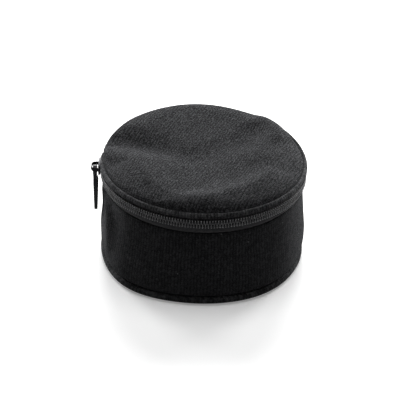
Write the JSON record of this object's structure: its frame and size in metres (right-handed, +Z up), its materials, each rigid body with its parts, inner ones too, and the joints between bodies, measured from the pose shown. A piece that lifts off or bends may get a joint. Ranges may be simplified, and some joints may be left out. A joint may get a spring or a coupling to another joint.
{
  "type": "cable pouch",
  "caption": "Round padded knit pouch with a domed lid on a coil zip round its side, a fabric hinge at the back and a slider with a hanging pull.",
  "frame": {"origin": "centre of the flat underside", "axes": "+Z up through the middle of the lid, +Y towards the fabric hinge at the back, X along the hinge"},
  "size_m": [0.0924, 0.0922, 0.0549],
  "materials": {
    "knit": "matte",
    "foam": "matte",
    "lining": "matte",
    "board": "matte",
    "binding": "matte",
    "zip_tape": "matte",
    "zip_coil": "satin",
    "gunmetal": "gloss"
  },
  "bodies": {
    "root": {"base_panel": "knit", "base_board": "board", "base_lining": "lining", "base_binding": "binding", "wall_panel": "knit", "wall_foam": "foam", "wall_lining": "lining", "wall_binding": "binding", "lower_zip_tape": "zip_tape", "lower_zip_coil": "zip_coil", "hinge_panel": "knit", "hinge_lining": "lining"},
    "lid": {"lid_panel": "knit", "lid_foam": "foam", "lid_lining": "lining", "lid_band": "knit", "lid_binding": "binding", "upper_zip_tape": "zip_tape", "upper_zip_coil": "zip_coil"},
    "slider": {"slider_body": "gunmetal", "slider_crown": "gunmetal"},
    "pull": {"pull_tab": "gunmetal"}
  },
  "joints": [
    {"name": "lid_hinge", "type": "hinge", "parent": "root", "child": "lid", "pos_m": [0, 0.0453, 0.0417], "axis": [-1, 0, 0], "range_deg": [0, 110], "deforming": ["hinge_panel", "hinge_lining", "upper_zip_tape"]},
    {"name": "zip_travel", "type": "hinge", "parent": "root", "child": "slider", "pos_m": [0, 0, 0.0417], "axis": [0, 0, 1], "range_deg": [0, 289], "deforming": ["lower_zip_coil", "upper_zip_coil"]},
    {"name": "pull_swing", "type": "hinge", "parent": "slider", "child": "pull", "pos_m": [-0.03052, 0.03762, 0.0417], "axis": [-0.5807, 0.8141, 0], "range_deg": [-50, 75]}
  ]
}
